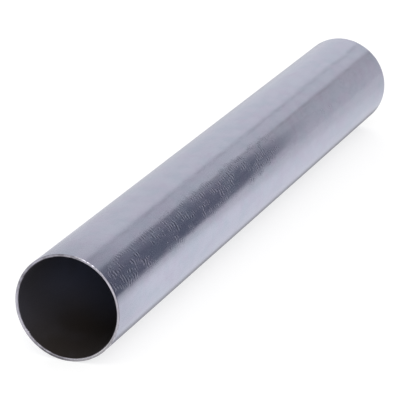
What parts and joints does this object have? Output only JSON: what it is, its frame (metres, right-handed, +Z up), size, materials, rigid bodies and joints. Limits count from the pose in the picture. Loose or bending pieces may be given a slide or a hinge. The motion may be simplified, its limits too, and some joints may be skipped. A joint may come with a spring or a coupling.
{
  "type": "steel conduit pipe",
  "caption": "Straight thin-wall galvanised steel conduit pipe with plain, deburred ends, open right through.",
  "frame": {"origin": "the middle of the line on which the pipe rests, at the centre of the box's underside", "axes": "+Y along the pipe's axis from the near end to the far end, +Z up"},
  "size_m": [0.0508, 0.38, 0.0508],
  "materials": {
    "galvanised_steel": "satin zinc, slightly bluish, with fine marks around the wall; dull and dark inside the bore"
  },
  "bodies": {
    "root": {"conduit_pipe": "galvanised_steel"}
  },
  "joints": []
}
